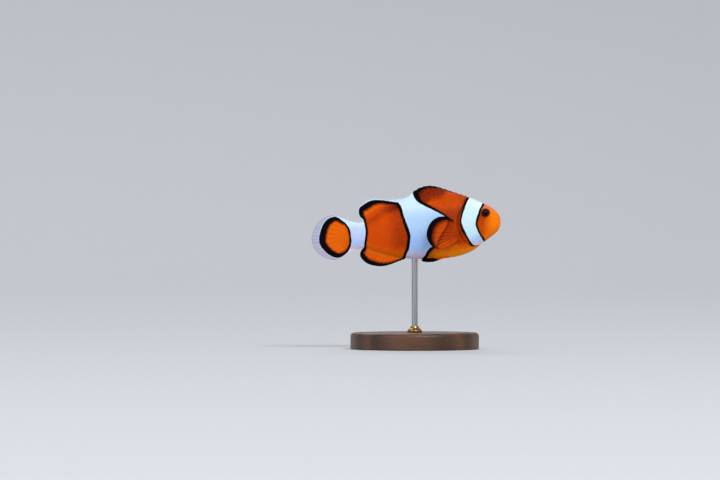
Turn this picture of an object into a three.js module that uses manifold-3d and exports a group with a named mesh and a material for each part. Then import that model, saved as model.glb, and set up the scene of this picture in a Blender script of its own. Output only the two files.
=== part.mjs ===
// An ocellaris clownfish as a life-size museum model, swimming on a plain one-rod stand.
// Millimetres, +Z up. The fish faces +X with its right flank towards -Y, and the origin is the
// centre of the stand's underside.
//
// The fish is laid out in its own frame: a place is (s, y, z), where s is the distance behind the
// snout, y is towards the fish's left, and z is the height over its long axis.

import * as THREE from "three";
import { mergeVertices } from "three/addons/utils/BufferGeometryUtils.js";
import Module from "manifold-3d";

const wasm = await Module();
wasm.setup();

// ---- Driving dimensions ----

const TOTAL_LENGTH = 80; // snout to the end of the tail fin's clear margin
const GAP = 0.3; // the thin cut between neighbouring pieces
const NOSE_UP = THREE.MathUtils.degToRad(5.5); // the swimming attitude
const MIDLINE_HEIGHT = 50; // the fish's long axis over the floor, at the rod
const TAIL_SWAY = 3.6; // how far the tail's end is swept to the fish's left
const SWAY_START = 24; // where along the body that sweep begins

// The body at stations behind the snout: [s, back, belly, half width].
const STATIONS = [
  [0.0, 0.4, 0.4, 0.0],
  [0.35, 2.55, -1.5, 1.5],
  [1.4, 4.4, -3.5, 2.55],
  [4.5, 7.15, -5.9, 3.9],
  [8.0, 9.1, -8.05, 4.85],
  [12.5, 11.45, -10.85, 5.75],
  [18.0, 12.95, -12.6, 6.3],
  [25.0, 12.8, -13.2, 6.3],
  [33.0, 12.25, -12.85, 5.75],
  [41.5, 11.6, -11.6, 4.7],
  [48.0, 10.1, -9.85, 3.65],
  [53.5, 7.6, -7.8, 2.75],
  [58.2, 5.45, -5.95, 2.0],
  [63.5, 5.6, -5.4, 1.35],
  [67.0, 4.7, -4.7, 0.55],
];
const BODY_END = 67;
// The power of the section's upper half: a broad forehead under 1, a narrow back over 1.
const BACK_RIDGE = { forehead: 0.86, back: 1.25, from: 6, to: 20 };

const FIN_ROOT = 1.3; // how deep a fin's root is laid in the body before it is trimmed
const FIN_THICK = { root: 1.15, edge: 0.5 };
const RAY_RELIEF = 0.12; // how far a fin ray stands out on each side

// An eyeball stands out of the cheek by a little, and looks sideways, forwards and a touch up.
const EYE = { s: 6.4, z: 4.25, radius: 2.15, depth: 1.8, out: 0.7, forward: 0.1, up: 0.12 };
const ROD = { s: 37.6, radius: 1.25, bevel: 0.4, into_fish: 3, into_base: 4.5 };
const BASE = { radius: 27, height: 7, bevel: 1.6, foot: 0.6 };
const COLLAR = { radius: 3.1, height: 2.4, rim: 1.1, neck: 2.15 };

// ---- Colours ----

const finish = (color, roughness, metalness = 0) =>
  new THREE.MeshStandardMaterial({ color, roughness, metalness });
const ORANGE = finish(0xd9560f, 0.42);
const FACE_ORANGE = finish(0xef7409, 0.42);
const WHITE = finish(0xdfeefa, 0.42);
const FIN_ORANGE = finish(0xc64c0c, 0.5);
const EYE_DARK = finish(0x1c0906, 0.12);
const WALNUT = finish(0x4a2d1c, 0.45);
const STEEL = finish(0x9b9da0, 0.3, 1);
const BRASS = finish(0xb8924a, 0.3, 1);

// ---- Curves ----

/** A smooth value at x through rows of [x, value...], by cubic pieces with averaged slopes. */
function smoothTable(rows, x, column, warp = (v) => v) {
  const xs = rows.map((row) => warp(row[0]));
  const at = warp(THREE.MathUtils.clamp(x, rows[0][0], rows[rows.length - 1][0]));
  const last = rows.length - 1;
  let i = 0;
  while (i < last - 1 && at > xs[i + 1]) i++;
  const rise = (k) => (rows[k + 1][column] - rows[k][column]) / (xs[k + 1] - xs[k]);
  const slope = (k) => (rise(Math.max(k - 1, 0)) + rise(Math.min(k, last - 1))) / 2;
  const width = xs[i + 1] - xs[i];
  const t = (at - xs[i]) / width;
  return (
    rows[i][column] * (1 + 2 * t) * (1 - t) ** 2 +
    rows[i + 1][column] * (3 - 2 * t) * t ** 2 +
    width * (slope(i) * t * (1 - t) ** 2 - slope(i + 1) * t ** 2 * (1 - t))
  );
}

/** The point a share of the way along a smooth outline of [s, z] points, ends included. */
function outline(points) {
  const curve = new THREE.SplineCurve(points.map(([s, z]) => new THREE.Vector2(s, z)));
  curve.arcLengthDivisions = 400;
  return (share) => curve.getPointAt(THREE.MathUtils.clamp(share, 0, 1));
}

const back = (s) => smoothTable(STATIONS, s, 1, Math.sqrt);
const belly = (s) => smoothTable(STATIONS, s, 2, Math.sqrt);
const halfWidth = (s) => smoothTable(STATIONS, s, 3, Math.sqrt);

/** How far the swimming sweep moves the body sideways at s. */
function sway(s) {
  const t = Math.max(0, s - SWAY_START) / (TOTAL_LENGTH - SWAY_START);
  return TAIL_SWAY * t ** 2;
}

/** A place in the fish's frame as a point, swept with the body. */
const place = (s, y, z) => new THREE.Vector3(-s, y + sway(s), z);

/** The body's half width at a turn round its section, where a quarter turn is the back. */
function flank(s, turn) {
  const { forehead, back: narrow, from, to } = BACK_RIDGE;
  const ridge = THREE.MathUtils.lerp(forehead, narrow, THREE.MathUtils.smoothstep(s, from, to));
  return halfWidth(s) * Math.abs(Math.cos(turn)) ** (Math.sin(turn) > 0 ? ridge : 1);
}

/** The height of the body's middle at s, and half its depth there. */
const depthAt = (s) => [(back(s) + belly(s)) / 2, (back(s) - belly(s)) / 2];

/** A point of the body's surface: turn 0 is the left flank. */
function skinPoint(s, turn) {
  const [middle, half] = depthAt(s);
  return place(s, flank(s, turn) * Math.sign(Math.cos(turn)), middle + half * Math.sin(turn));
}

/** The surface's outward direction, from its two neighbours along and round the body. */
function skinNormal(s, turn) {
  const step = 0.02;
  const ahead = skinPoint(Math.max(s - step, 0), turn);
  const along = skinPoint(Math.min(s + step, BODY_END), turn).sub(ahead);
  const round = skinPoint(s, turn + step).sub(skinPoint(s, turn - step));
  return along.cross(round).normalize();
}

/** The body's half width at a height on it. */
function flankAt(s, z) {
  const [middle, half] = depthAt(s);
  return flank(s, Math.asin(THREE.MathUtils.clamp((z - middle) / half, -1, 1)));
}

// ---- Solids ----

/** A closed geometry through rings of points, its two ends stitched shut across each ring. */
function loft(rings) {
  const count = rings[0].length;
  const faces = [];
  const quad = (a, b, c, d) => faces.push(a, b, c, a, c, d);
  for (let k = 0; k + 1 < rings.length; k++) {
    for (let i = 0; i < count; i++) {
      const j = (i + 1) % count;
      const [near, far] = [k * count, (k + 1) * count];
      quad(near + i, near + j, far + j, far + i);
    }
  }
  const end = (rings.length - 1) * count;
  for (let i = 0; i + 1 < count / 2; i++) {
    const [a, b, c, d] = [i, i + 1, count - 2 - i, count - 1 - i];
    quad(d, c, b, a);
    quad(end + a, end + b, end + c, end + d);
  }
  return new THREE.BufferGeometry().setFromPoints(rings.flat()).setIndex(faces);
}

/** A geometry as a manifold-3d solid, facing out. */
function solid(geometry) {
  const bare = geometry.clone();
  bare.deleteAttribute("normal");
  bare.deleteAttribute("uv");
  const merged = mergeVertices(bare, 1e-3);
  const triVerts = new Uint32Array(merged.index.array);
  const make = () =>
    new wasm.Manifold(
      new wasm.Mesh({ numProp: 3, vertProperties: merged.attributes.position.array, triVerts }),
    );
  const made = make();
  if (made.volume() > 0) return made;
  for (let i = 0; i < triVerts.length; i += 3)
    [triVerts[i + 1], triVerts[i + 2]] = [triVerts[i + 2], triVerts[i + 1]];
  return make();
}

/** The largest piece of a solid, which leaves out the slivers that a cut can free. */
const largest = (made) => made.decompose().sort((a, b) => b.volume() - a.volume())[0];

/** A solid as a named mesh. */
function mesh(name, made, material) {
  const { vertProperties, triVerts } = largest(made).getMesh();
  const geometry = new THREE.BufferGeometry()
    .setAttribute("position", new THREE.BufferAttribute(new Float32Array(vertProperties), 3))
    .setIndex(new THREE.BufferAttribute(new Uint32Array(triVerts), 1));
  geometry.computeVertexNormals();
  const node = new THREE.Mesh(geometry, material);
  node.name = name;
  return node;
}

/** The whole body without fins, grown outwards by some millimetres, or shrunk. */
function bodySolid(grow = 0, sections = 34, round = 26) {
  const rings = [];
  for (let k = 0; k <= sections; k++) {
    const s = BODY_END * (k / sections) ** 1.6; // closer together towards the snout
    const ring = [];
    for (let i = 0; i < round; i++) {
      const turn = (2 * Math.PI * (i + 0.5)) / round;
      const tip = k === 0 || k === sections;
      const normal = tip ? new THREE.Vector3(k ? -1 : 1, 0, 0) : skinNormal(s, turn);
      ring.push(skinPoint(s, turn).addScaledVector(normal, grow));
    }
    rings.push(ring);
  }
  return solid(loft(rings));
}

/** A prism over an outline of [s, z] corners, between two distances to the fish's left. */
function sideCut(corners, from, to) {
  const shape = new THREE.Shape(corners.map(([s, z]) => new THREE.Vector2(-s, z)));
  const prism = new THREE.ExtrudeGeometry(shape, { depth: to - from, bevelEnabled: false });
  return solid(prism.rotateX(Math.PI / 2).translate(0, to, 0));
}

/**
 * A fin: rays from a root line to an edge line, with a sheet of membrane between them.
 * root(u) and edge(u) are points, u runs from the first ray to the last, and side(u, v) is the
 * direction across the sheet. Each ray is a low ridge, and the membrane's edge dips between rays.
 */
function fin({ rays, from = 0, to = 1, root, edge, side, bow = () => 0, dip = 0.15, steps = 3 }) {
  const columns = 2 * (rays - 1);
  const first = Math.round(from * columns);
  const final = Math.round(to * columns);
  const rings = [];
  for (let k = first; k <= final; k++) {
    const u = THREE.MathUtils.clamp(k / columns, from + 1e-4, to - 1e-4);
    const onRay = k % 2 === 0;
    const reach = root(u).distanceTo(edge(u));
    const full = onRay ? 1 : 1 - dip / Math.max(reach, 1);
    const right = [];
    const left = [];
    for (let j = 0; j <= steps; j++) {
      const v = (j / steps) * full;
      const across = side(u, v);
      const middle = root(u).lerp(edge(u), v).addScaledVector(across, bow(u, v));
      const half =
        THREE.MathUtils.lerp(FIN_THICK.root, FIN_THICK.edge, v) / 2 +
        (onRay ? RAY_RELIEF * (1 - v) : 0);
      right.push(middle.clone().addScaledVector(across, -half));
      left.unshift(middle.addScaledVector(across, half));
    }
    rings.push([...right, ...left]);
  }
  return solid(loft(rings));
}

// ---- The body and what is parted from it ----

const FAR = 20; // a distance past the body's skin on any side
const body = bodySolid();
const clearOfBody = bodySolid(GAP);

/** An eyeball as a flattened ball looking out of the head, grown by a distance. */
function eyeball(hand, grow = 0) {
  const ball = new THREE.SphereGeometry(1, 16, 10);
  ball.scale(EYE.radius + grow, EYE.radius + grow, EYE.depth + grow);
  ball.lookAt(new THREE.Vector3(EYE.forward, hand, EYE.up));
  const { x, y, z } = place(EYE.s, hand * (flankAt(EYE.s, EYE.z) + EYE.out - EYE.depth), EYE.z);
  return solid(ball.translate(x, y, z));
}

// The gill cover is a leaning oval, from the cheek to its free edge in front of the side fin.
const GILL_COVER = { s: 13.5, z: -0.9, long: 4.2, tall: 7.4, lean: -0.08, thick: 1.3 };

// The lower jaw, under the mouth slit that rises to the snout's tip, grown by a distance.
const lowerJaw = (grow) => [
  [-2, grow - 0.55], [1.2, grow - 1.15], [3.3, grow - 2.3], [grow + 4.3, grow - 3.4],
  [grow + 5.6, -FAR], [-2, -FAR],
];

// Where the head ends behind the gill covers, and where the tail stalk begins.
const NAPE = [
  [-3, 20], [13.6, 20], [14.0, 12], [15.0, 8.6], [17.2, 5.6], [18.4, 1.5], [18.3, -2.0],
  [17.0, -5.6], [14.6, -8.6], [12.4, -10.4], [11.8, -20], [-3, -20],
];
const STALK = [[57.0, 20], [56.3, 5], [56.2, 0], [57.4, -5], [58.2, -20], [80, -20], [80, 20]];

const core = bodySolid(-GILL_COVER.thick, 24, 20);
const coreLoose = bodySolid(-GILL_COVER.thick - GAP, 24, 20);
const THROAT = 0.9; // half the width of the strip that joins the head's sides under the gills
const SIDES = [
  { name: "right", hand: -1, from: -FAR, to: -THROAT },
  { name: "left", hand: 1, from: THROAT, to: FAR },
];

/** The rod's line in the fish's own frame, grown round by a distance, up into the belly. */
function rodInFish(grow) {
  const post = new THREE.CylinderGeometry(ROD.radius + grow, ROD.radius + grow, 40, 24);
  post.rotateX(Math.PI / 2).translate(0, 0, ROD.into_fish + grow - 20);
  post.rotateY(NOSE_UP);
  const foot = place(ROD.s, 0, belly(ROD.s));
  return solid(post.translate(foot.x, foot.y, foot.z));
}

/** The gill cover's outline, grown by a distance, as [s, z] corners. */
function coverOutline(grow = 0) {
  const { s, z, long, tall, lean } = GILL_COVER;
  const oval = new THREE.EllipseCurve(s, z, long + grow, tall + grow, 0, 2 * Math.PI, false, lean);
  return oval.getPoints(22).slice(1).map((point) => point.toArray());
}

const headBlock = sideCut(NAPE, -FAR, FAR);
const stalkBlock = sideCut(STALK, -FAR, FAR);
const jawBlock = sideCut(lowerJaw(0), -FAR, FAR);

const fish = new THREE.Group();

const shell = body.subtract(core);
let head = body.intersect(headBlock).subtract(sideCut(lowerJaw(GAP), -FAR, FAR));
for (const { name, hand, from, to } of SIDES) {
  const cover = shell.intersect(sideCut(coverOutline(), from, to));
  fish.add(mesh(`gill_cover_${name}`, cover, WHITE));
  head = head.subtract(sideCut(coverOutline(GAP), from, to).subtract(coreLoose));
  head = head.subtract(eyeball(hand, GAP));
  fish.add(mesh(`eye_${name}`, eyeball(hand), EYE_DARK));
}
fish.add(mesh("head", head, FACE_ORANGE));
fish.add(mesh("lower_jaw", body.intersect(jawBlock), FACE_ORANGE));

const trunk = body
  .subtract(sideCut(NAPE.map(([s, z]) => [s + GAP, z]), -FAR, FAR))
  .subtract(sideCut(STALK.map(([s, z]) => [s - GAP, z]), -FAR, FAR))
  .subtract(rodInFish(GAP));
fish.add(mesh("trunk", trunk, ORANGE));
fish.add(mesh("tail_stalk", body.intersect(stalkBlock), WHITE));

// ---- The fins along the back, belly and tail ----

const DORSAL = {
  rays: 25,
  base: [13.4, 56.6],
  spiny: 0.5, // the share of the fin that its stiff spines carry
  top: outline([
    [13.8, 12.7], [18.1, 14.1], [22.1, 15.9], [26.2, 17.5], [29.4, 18.0], [32.5, 17.5],
    [34.8, 16.5], [36.3, 15.5], [38.0, 14.1], [41.3, 13.4], [45.5, 13.5], [49.7, 14.3],
    [53.5, 14.8], [56.6, 14.0], [58.8, 12.3], [59.5, 10.4], [59.0, 8.0], [57.6, 5.9],
  ]),
};
const ANAL = {
  rays: 14,
  base: [41.6, 58.2],
  bottom: outline([
    [41.8, -12.0], [44.5, -12.6], [48.1, -13.6], [51.5, -14.0], [55.0, -13.4], [58.0, -12.0],
    [59.9, -9.8], [60.3, -7.9], [59.4, -6.2],
  ]),
};
const CAUDAL = {
  rays: 17,
  root: 62.2,
  spread: 4.9,
  rim: outline([
    [62.4, 5.9], [65.1, 7.2], [68.4, 9.0], [71.4, 9.5], [74.5, 8.5], [77.6, 5.9], [79.6, 2.1],
    [80.0, -1.0], [79.2, -4.1], [77.0, -6.8], [74.0, -8.7], [70.8, -9.4], [67.8, -8.7],
    [65.0, -7.1], [62.4, -5.9],
  ]),
};

const across = () => new THREE.Vector3(0, 1, 0);

/** An outline as places on the fish's middle plane. */
const onMiddle = (curve) => (u) => place(curve(u).x, 0, curve(u).y);

/** A fin's root line, laid into the body under the line that profile gives. */
const rootLine = ([from, to], profile) => (u) => {
  const s = THREE.MathUtils.lerp(from, to, u);
  return place(s, 0, profile(s) - FIN_ROOT * Math.sign(profile(s)));
};

const dorsal = {
  rays: DORSAL.rays,
  root: rootLine(DORSAL.base, back),
  edge: onMiddle(DORSAL.top),
  side: across,
};
const between = GAP / 2 / (DORSAL.base[1] - DORSAL.base[0]);
const spines = fin({ ...dorsal, to: DORSAL.spiny - between, dip: 0.35 }).subtract(clearOfBody);
fish.add(mesh("dorsal_fin_spiny", spines, FIN_ORANGE));
const soft = fin({ ...dorsal, from: DORSAL.spiny + between }).subtract(clearOfBody);
fish.add(mesh("dorsal_fin_soft", soft, FIN_ORANGE));

const anal = fin({
  rays: ANAL.rays,
  root: rootLine(ANAL.base, belly),
  edge: onMiddle(ANAL.bottom),
  side: across,
});
fish.add(mesh("anal_fin", anal.subtract(clearOfBody), FIN_ORANGE));

const caudal = fin({
  rays: CAUDAL.rays,
  root: (u) => place(CAUDAL.root, 0, CAUDAL.spread * (1 - 2 * u)),
  edge: onMiddle(CAUDAL.rim),
  side: across,
  steps: 4,
});
fish.add(mesh("caudal_fin", caudal.subtract(clearOfBody), FIN_ORANGE));

// ---- The paired fins ----

const ROOT_AHEAD = 0.4; // how far a paired fin's root is laid ahead of its hinge
// The side fin is a round fan hinged on a short upright root, held out from the flank.
const PECTORAL = {
  rays: 17,
  s: 19.4,
  z: -2.9,
  root: 2.7,
  flare: THREE.MathUtils.degToRad(36),
  cup: 0.5,
  rim: outline([
    [19.8, 0.6], [21.2, 3.3], [23.6, 4.4], [26.6, 4.3], [29.4, 2.7], [31.3, -0.1], [31.9, -3.2],
    [31.1, -6.1], [29.2, -8.2], [26.2, -9.1], [22.4, -8.2], [20.0, -6.4],
  ]),
};
// The belly fin is a narrow fan laid back along the belly, its outer edge a little lower.
const PELVIC = {
  rays: 6,
  s: 21.6,
  y: 1.3,
  deep: 0.9,
  root: 0.8,
  length: 13.2,
  half: 2.5,
  round: 0.45,
  outward: 0.8, // how far the fan's middle lies outside its root
  droop: 0.04,
  tilt: THREE.MathUtils.degToRad(30),
  arc: THREE.MathUtils.degToRad(80),
};

function pectoral(hand) {
  const { s: hinge, z: middle, flare } = PECTORAL;
  const hingeWidth = flankAt(hinge, middle) - FIN_ROOT;
  const flared = (s, z) => place(s, hand * (hingeWidth + (s - hinge) * Math.tan(flare)), z);
  return fin({
    rays: PECTORAL.rays,
    root: (u) => flared(hinge - ROOT_AHEAD, middle + PECTORAL.root * (1 - 2 * u)),
    edge: (u) => {
      const tip = PECTORAL.rim(u);
      return flared(tip.x, tip.y);
    },
    side: () => new THREE.Vector3(Math.sin(flare), hand * Math.cos(flare), 0),
    bow: (u, v) => PECTORAL.cup * Math.sin(Math.PI * v),
  });
}

function pelvic(hand) {
  const { s: hinge, length, half, tilt } = PELVIC;
  const top = belly(hinge) + PELVIC.deep;
  const laid = (back, across) =>
    place(
      hinge + back,
      hand * (PELVIC.y + across * Math.cos(tilt)),
      top - PELVIC.droop * back - across * Math.sin(tilt),
    );
  return fin({
    rays: PELVIC.rays,
    root: (u) => laid(-ROOT_AHEAD, PELVIC.root * (2 * u - 1)),
    edge: (u) => {
      const angle = PELVIC.arc * (2 * u - 1);
      const along = length * (1 - PELVIC.round * (1 - Math.cos(angle)));
      return laid(along, PELVIC.outward + half * Math.sin(angle));
    },
    side: () => new THREE.Vector3(0, hand * Math.sin(tilt), Math.cos(tilt)),
  });
}

for (const { name, hand } of SIDES) {
  fish.add(mesh(`pectoral_fin_${name}`, pectoral(hand).subtract(clearOfBody), FIN_ORANGE));
  fish.add(mesh(`pelvic_fin_${name}`, pelvic(hand).subtract(clearOfBody), FIN_ORANGE));
}

// ---- The stand: a turned base, a collar and one rod ----

const model = new THREE.Group();
fish.rotation.y = -NOSE_UP;
const foot = place(ROD.s, 0, belly(ROD.s)).applyEuler(fish.rotation);
const midline = place(ROD.s, 0, 0).applyEuler(fish.rotation);
fish.position.set(-foot.x, -foot.y, MIDLINE_HEIGHT - midline.z);
model.add(fish);

/** A turned piece from its profile of [radius, height] corners. */
function turned(profile, segments) {
  const corners = profile.map(([radius, height]) => new THREE.Vector2(radius, height));
  return solid(new THREE.LatheGeometry(corners, segments).rotateX(Math.PI / 2));
}

const hole = ROD.radius + GAP;
const holeFloor = BASE.height - ROD.into_base - GAP;
const standBase = turned(
  [
    [0, 0],
    [BASE.radius - BASE.foot, 0],
    [BASE.radius, BASE.foot],
    [BASE.radius, BASE.height - BASE.bevel],
    [BASE.radius - BASE.bevel * 0.3, BASE.height - BASE.bevel * 0.3],
    [BASE.radius - BASE.bevel, BASE.height],
    [hole, BASE.height],
    [hole, holeFloor],
    [0, holeFloor],
  ],
  40,
);
model.add(mesh("stand_base", standBase, WALNUT));

const seat = BASE.height + GAP;
const collar = turned(
  [
    [hole, seat],
    [COLLAR.radius, seat],
    [COLLAR.radius, seat + COLLAR.rim],
    [COLLAR.neck, seat + COLLAR.height],
    [hole, seat + COLLAR.height],
    [hole, seat],
  ],
  24,
);
model.add(mesh("stand_collar", collar, BRASS));

const rodTop = fish.position.z + foot.z + ROD.into_fish;
const standRod = turned(
  [
    [0, holeFloor + GAP],
    [ROD.radius, holeFloor + GAP],
    [ROD.radius, rodTop - ROD.bevel],
    [ROD.radius - ROD.bevel, rodTop],
    [0, rodTop],
  ],
  20,
);
model.add(mesh("stand_rod", standRod, STEEL));

export default model;
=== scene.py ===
"""An ocellaris clownfish as a life-size museum model on a one-rod stand: its finished surfaces.

Metres, +Z up. The fish faces +X, with its right flank towards -Y. Each section below makes one
piece or one group of like pieces, from the stand upwards, and then the studio round it.
"""

import math

import bpy
import numpy as np
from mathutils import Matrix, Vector
from mathutils.kdtree import KDTree


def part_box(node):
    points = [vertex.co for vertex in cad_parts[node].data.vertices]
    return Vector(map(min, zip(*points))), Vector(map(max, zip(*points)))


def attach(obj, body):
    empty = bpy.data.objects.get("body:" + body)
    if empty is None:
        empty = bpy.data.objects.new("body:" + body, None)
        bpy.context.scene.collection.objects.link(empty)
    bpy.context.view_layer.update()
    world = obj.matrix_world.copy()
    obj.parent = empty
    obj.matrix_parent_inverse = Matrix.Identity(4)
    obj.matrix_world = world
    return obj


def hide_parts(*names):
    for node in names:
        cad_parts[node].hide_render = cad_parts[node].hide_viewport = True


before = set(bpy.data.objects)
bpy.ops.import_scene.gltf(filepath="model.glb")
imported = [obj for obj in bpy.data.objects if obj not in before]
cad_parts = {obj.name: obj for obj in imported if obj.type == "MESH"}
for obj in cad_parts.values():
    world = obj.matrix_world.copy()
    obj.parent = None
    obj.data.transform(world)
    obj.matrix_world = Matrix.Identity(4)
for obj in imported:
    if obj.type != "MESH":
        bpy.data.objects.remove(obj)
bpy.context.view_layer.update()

# ----------------------------------------------------------
# The stand's base: a disc of walnut, turned on a lathe with an eased edge and one shallow bead
# round its top, then oiled. Its grain runs straight across, as it was cut from one board.

MM = 0.001


def rounded(centre, radius, start, end, count=6):
    """Corners on an arc round a centre, from one angle in degrees to another."""
    angles = np.radians(np.linspace(start, end, count))
    return [(centre[0] + radius * math.cos(a), centre[1] + radius * math.sin(a)) for a in angles]


def piece(name, points, faces):
    """A smooth mesh object from points in metres."""
    mesh = bpy.data.meshes.new(name)
    mesh.from_pydata([tuple(p) for p in points], [], [tuple(f) for f in faces])
    mesh.polygons.foreach_set("use_smooth", [True] * len(mesh.polygons))
    made = bpy.data.objects.new(name, mesh)
    bpy.context.scene.collection.objects.link(made)
    return made


def walls(rings, count, first=0):
    """Faces between rings of points that follow one another, each closed on itself."""
    k, i = np.meshgrid(np.arange(rings - 1), np.arange(count), indexing="ij")
    a, b, j = first + k * count, first + (k + 1) * count, (i + 1) % count
    return np.stack([a + i, a + j, b + j, b + i], -1).reshape(-1, 4).tolist()


def fan(middle, first, count):
    """Faces from one point to a ring."""
    return [(middle, first + (i + 1) % count, first + i) for i in range(count)]


def closed_form(rings, count):
    """Faces of a form whose rings are followed by the two points that close its ends."""
    low, high, last = rings * count, rings * count + 1, (rings - 1) * count
    return walls(rings, count) + fan(low, 0, count) + [f[::-1] for f in fan(high, last, count)]


def round_angles(count):
    """Angles once round a ring."""
    return np.linspace(0, 2 * math.pi, count, endpoint=False)


def turned(name, *corners, segments=144, step=0.96):
    """A piece turned about Z from (radius, height) corners in millimetres, the ends on the axis."""
    profile = []
    for start, end in zip(corners, corners[1:]):
        parts = max(1, math.ceil(math.dist(start, end) / step))
        profile += [tuple(np.add(start, np.subtract(end, start) * k / parts)) for k in range(1, parts + 1)]
    inner = profile[:-1]
    points = [(r * math.cos(a), r * math.sin(a), h) for r, h in inner for a in round_angles(segments)]
    points += [(0, 0, corners[0][1]), (0, 0, corners[-1][1])]
    return piece(name, np.array(points) * MM, closed_form(len(inner), segments))


class Tone:
    """One output of a finish's nodes. Arithmetic on it adds Math nodes to that finish."""

    tree = None

    def __init__(self, socket):
        self.socket = socket

    @classmethod
    def node(cls, kind, settings=None, inputs=None, output=0):
        made = cls.tree.nodes.new("ShaderNode" + kind)
        for name, value in (settings or {}).items():
            setattr(made, name, value)
        for key, value in (inputs or {}).items():
            if isinstance(value, Tone):
                cls.tree.links.new(value.socket, made.inputs[key])
            else:
                made.inputs[key].default_value = value
        return cls(made.outputs[output]) if made.outputs else None

    def maths(self, operation, *others):
        return Tone.node("Math", {"operation": operation}, dict(enumerate((self, *others))))

    def __add__(self, other):
        return self.maths("ADD", other)

    __radd__ = __add__

    def __sub__(self, other):
        return self.maths("SUBTRACT", other)

    def __rsub__(self, other):
        return Tone.node("Math", {"operation": "SUBTRACT"}, {0: other, 1: self})

    def __mul__(self, other):
        return self.maths("MULTIPLY", other)

    __rmul__ = __mul__

    def __abs__(self):
        return self.maths("ABSOLUTE")


def between(value, low, high):
    """A soft step of a tone: 0 at low, 1 at high, whichever is the larger."""
    settings = {"interpolation_type": "SMOOTHSTEP", "clamp": True}
    return Tone.node("MapRange", settings, {"Value": value, "From Min": low, "From Max": high})


def noise(place, scale, detail=2, stretch=None):
    """Noise about 0, with its scale in waves for each unit of place."""
    if stretch:
        place = Tone.node("VectorMath", {"operation": "MULTIPLY"}, {0: place, 1: stretch})
    inputs = {"Vector": place, "Scale": scale, "Detail": detail}
    return Tone.node("TexNoise", {}, inputs, "Fac") - 0.5


def own_place():
    """Places in a piece's own frame, in metres."""
    return Tone.node("TexCoord", {}, {}, "Object")


def blend(first, second, share):
    """A colour that turns from the first to the second. A Mix node's colours are its sockets 6 and 7."""
    return Tone.node("Mix", {"data_type": "RGBA"}, {0: share, 6: first, 7: second}, 2)


def colour(red, green, blue):
    """A shader colour from a paint chart's numbers, 0 to 255, by the sRGB curve."""
    shares = [v / 255 for v in (red, green, blue)]
    return (*(v / 12.92 if v < 0.0405 else ((v + 0.055) / 1.055) ** 2.4 for v in shares), 1.0)


def new_finish(name, *pieces):
    """An empty material on some pieces. The next tones are added to its tree."""
    material = bpy.data.materials.new(name)
    material.use_nodes = True
    Tone.tree = material.node_tree
    Tone.tree.nodes.clear()
    for made in pieces:
        made.data.materials.append(material)
    return material


def surface(base, roughness, relief=None, depth=0.0, **constants):
    """Ends a finish with tones for its colour, roughness and relief, and fixed shader values."""
    inputs = {"Base Color": base, "Roughness": roughness, **constants}
    if relief is not None:
        inputs["Normal"] = Tone.node("Bump", {}, {"Height": relief, "Distance": depth, "Strength": 1.0})
    Tone.node("OutputMaterial", {}, {"Surface": Tone.node("BsdfPrincipled", {}, inputs)})


base_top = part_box("stand_base")[1]
BASE_RADIUS, BASE_HEIGHT = base_top.x / MM, base_top.z / MM
EDGE = 1.6  # the radius of the eased top edge
FOOT_EDGE = 0.6
BEAD, BEAD_IN = 0.45, 4.2  # the sunk bead's radius, and how far in from the edge it runs

base = turned(
    "walnut_base",
    (0, 0),
    (BASE_RADIUS - FOOT_EDGE, 0),
    *rounded((BASE_RADIUS - FOOT_EDGE, FOOT_EDGE), FOOT_EDGE, -90, 0),
    *rounded((BASE_RADIUS - EDGE, BASE_HEIGHT - EDGE), EDGE, 0, 90, 10),
    (BASE_RADIUS - BEAD_IN + 0.6, BASE_HEIGHT),
    *rounded((BASE_RADIUS - BEAD_IN, BASE_HEIGHT), BEAD, 0, -180, 7),
    (0, BASE_HEIGHT),
)
new_finish("oiled_walnut", base)
board = own_place()
warp = noise(board, 38, 3, (0.35, 1, 1))
across = Tone.node("SeparateXYZ", {}, {0: board}, "Y")
rings = (across * 620.0 + warp * 11.0).maths("SINE") * 0.5 + 0.5
pores = between(noise(board, 1500, 3, (0.05, 1, 1)), 0.02, 0.2)
streaks = noise(board, 260, 4, (0.06, 1, 1)) + 0.5
heart = blend(colour(56, 33, 20), colour(104, 66, 40), rings * 0.65 + streaks * 0.3)
walnut_colour = blend(heart, colour(30, 17, 10), pores * 0.45)
surface(walnut_colour, 0.36 + pores * 0.2 + streaks * 0.08, rings * 0.3 - pores, 0.02 * MM)
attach(base, "root")
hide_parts("stand_base")

# ----------------------------------------------------------
# The collar: a small brass boss, turned and polished, that steadies the rod where it enters the
# base. Fine lathe lines run round it.

collar_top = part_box("stand_collar")[1]
COLLAR_RADIUS, COLLAR_TOP = collar_top.x / MM, collar_top.z / MM

collar = turned(
    "brass_collar",
    (0, BASE_HEIGHT - 0.2),
    (COLLAR_RADIUS, BASE_HEIGHT - 0.2),
    (COLLAR_RADIUS, BASE_HEIGHT + 0.75),
    *rounded((COLLAR_RADIUS - 0.3, BASE_HEIGHT + 0.8), 0.3, 0, 70, 5),
    *rounded((COLLAR_RADIUS - 0.1, COLLAR_TOP), 1.25, 250, 190, 9),
    *rounded((COLLAR_RADIUS - 1.6, COLLAR_TOP - 0.25), 0.25, 20, 90, 5),
    (0, COLLAR_TOP),
    segments=96,
)
new_finish("turned_brass", collar)
spun = own_place()
height = Tone.node("SeparateXYZ", {}, {0: spun}, "Z")
lathe_lines = noise(Tone.node("CombineXYZ", {}, {"Z": height}), 9000, 2)
tarnish = noise(spun, 900, 3)
brass_colour = blend(colour(206, 168, 98), colour(168, 126, 66), tarnish + 0.5)
surface(brass_colour, 0.24 + tarnish * 0.2, lathe_lines, 0.008 * MM, Metallic=1.0)
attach(collar, "root")
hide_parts("stand_collar")

# ----------------------------------------------------------
# The rod: drawn steel, straightened and rubbed along its length, set in the base at one end and
# in a socket in the fish's belly at the other.

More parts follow.
